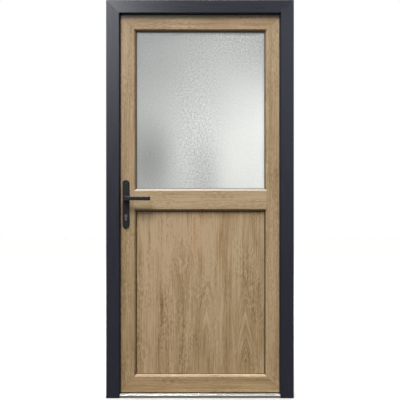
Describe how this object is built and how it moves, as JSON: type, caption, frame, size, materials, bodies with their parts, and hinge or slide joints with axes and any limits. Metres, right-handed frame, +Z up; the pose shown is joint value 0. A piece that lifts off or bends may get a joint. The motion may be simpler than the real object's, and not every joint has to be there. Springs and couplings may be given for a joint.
{
  "type": "side entrance door",
  "caption": "Framed side entrance door with an inward-opening oak-look leaf, obscured glass above, a panel below, a lever handle and a low threshold.",
  "frame": {"origin": "under the threshold, at mid width and mid depth of the frame", "axes": "seen from outside, +X to the right, +Y into the room, +Z up"},
  "size_m": [0.98, 0.18, 2.08],
  "materials": {
    "frame_foil": "anthracite grey foil, fine grain",
    "oak_foil": "light oak foil, satin, grain along each profile",
    "oak_panel": "light oak foil, satin, upright grain",
    "obscured_glass": "obscured, fine grain",
    "clear_glass": "clear",
    "spacer_metal": "mill, dull",
    "seal_rubber": "dull black",
    "tread_metal": "anodised silver, brushed along its length",
    "threshold_plastic": "dark grey, matt",
    "lock_steel": "zinc plated",
    "pin_steel": "ground steel",
    "hinge_paint": "anthracite powder coat",
    "handle_paint": "anthracite powder coat, satin",
    "cylinder_nickel": "satin nickel"
  },
  "bodies": {
    "frame": {"frame_left_jamb": "frame_foil", "frame_right_jamb": "frame_foil", "frame_head": "frame_foil", "threshold_tread": "tread_metal", "threshold_base": "threshold_plastic", "frame_gasket": "seal_rubber", "strike_plates": "lock_steel", "hinge_frame_halves": "hinge_paint", "hinge_pins": "pin_steel"},
    "leaf": {"leaf_lock_stile": "oak_foil", "leaf_hinge_stile": "oak_foil", "leaf_top_rail": "oak_foil", "leaf_bottom_rail": "oak_foil", "leaf_mid_rail": "oak_foil", "leaf_gasket": "seal_rubber", "leaf_bottom_seal": "seal_rubber", "glass_outer_pane": "obscured_glass", "glass_inner_pane": "clear_glass", "glazing_spacer": "spacer_metal", "glass_gasket": "seal_rubber", "panel_gasket": "seal_rubber", "lower_panel": "oak_panel", "glass_bead_left": "oak_foil", "glass_bead_right": "oak_foil", "glass_bead_top": "oak_foil", "glass_bead_bottom": "oak_foil", "panel_bead_left": "oak_foil", "panel_bead_right": "oak_foil", "panel_bead_top": "oak_foil", "panel_bead_bottom": "oak_foil", "lock_faceplate": "lock_steel", "latch_bolt": "lock_steel", "dead_bolt": "lock_steel", "hook_bolts": "lock_steel", "lock_cylinder": "cylinder_nickel", "outside_plate": "handle_paint", "inside_plate": "handle_paint", "hinge_leaf_halves": "hinge_paint"},
    "handle": {"outside_lever": "handle_paint", "inside_lever": "handle_paint", "handle_spindle": "lock_steel"}
  },
  "joints": [
    {"name": "leaf_swing", "type": "hinge", "parent": "frame", "child": "leaf", "pos_m": [0.4695, 0.053, 1.04], "axis": [0, 0, -1], "range_deg": [0, 100]},
    {"name": "lever_turn", "type": "hinge", "parent": "leaf", "child": "handle", "pos_m": [-0.3885, 0.0253, 1.043], "axis": [0, 1, 0], "range_deg": [0, 40], "stiffness_Nm_per_rad": 1.5, "springref_deg": -28.65}
  ]
}
